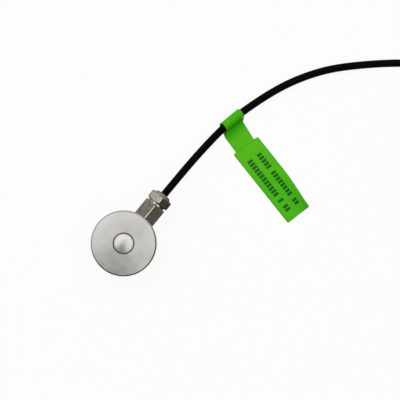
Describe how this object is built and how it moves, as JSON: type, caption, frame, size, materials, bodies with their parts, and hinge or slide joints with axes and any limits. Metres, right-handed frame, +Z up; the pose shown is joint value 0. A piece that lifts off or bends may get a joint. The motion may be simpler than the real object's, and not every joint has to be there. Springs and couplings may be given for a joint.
{
  "type": "button load cell",
  "caption": "Round steel button load cell with a domed load button, side cable gland, flagged signal cable and base mounting holes.",
  "frame": {"origin": "centre of the puck's bottom face, which is the centre of the mounting holes", "axes": "+Z up through the load button; the cable gland leaves at 50.5 degrees from +X towards +Y"},
  "size_m": [0.1838, 0.091, 0.0131],
  "materials": {
    "turned_stainless": "turned stainless steel, fine concentric tool marks",
    "cover_stainless": "rolled stainless sheet, welded edge",
    "gland_metal": "machined hexagon stock, nickel plated",
    "washer_brass": "plain brass",
    "seal_rubber": "black nitrile rubber",
    "cable_sheath": "extruded polyurethane, satin black",
    "label_film": "green printed vinyl film",
    "gauge_film": "polyimide foil gauge",
    "circuit_board": "glass epoxy board",
    "chip_ceramic": "glazed chip resistor",
    "lead_red": "red lead insulation",
    "lead_black": "black lead insulation",
    "lead_green": "green lead insulation",
    "lead_white": "white lead insulation",
    "tinned_copper": "tinned copper strand"
  },
  "bodies": {
    "root": {"sensor_body": "turned_stainless", "base_cover": "cover_stainless", "strain_gauge_1": "gauge_film", "strain_gauge_2": "gauge_film", "strain_gauge_3": "gauge_film", "strain_gauge_4": "gauge_film", "bridge_board": "circuit_board", "trim_resistor_1": "chip_ceramic", "trim_resistor_2": "chip_ceramic", "inner_lead_red": "lead_red", "inner_lead_black": "lead_black", "inner_lead_green": "lead_green", "inner_lead_white": "lead_white", "port_o_ring": "seal_rubber", "gland_body": "gland_metal", "gland_seal": "seal_rubber", "gland_washer": "washer_brass", "gland_nut": "gland_metal", "cable": "cable_sheath", "flag_label": "label_film", "cable_coil": "cable_sheath", "cable_tail": "cable_sheath", "end_lead_red": "lead_red", "end_lead_black": "lead_black", "end_lead_green": "lead_green", "end_lead_white": "lead_white", "shield_pigtail": "tinned_copper", "lead_tips": "tinned_copper"}
  },
  "joints": []
}
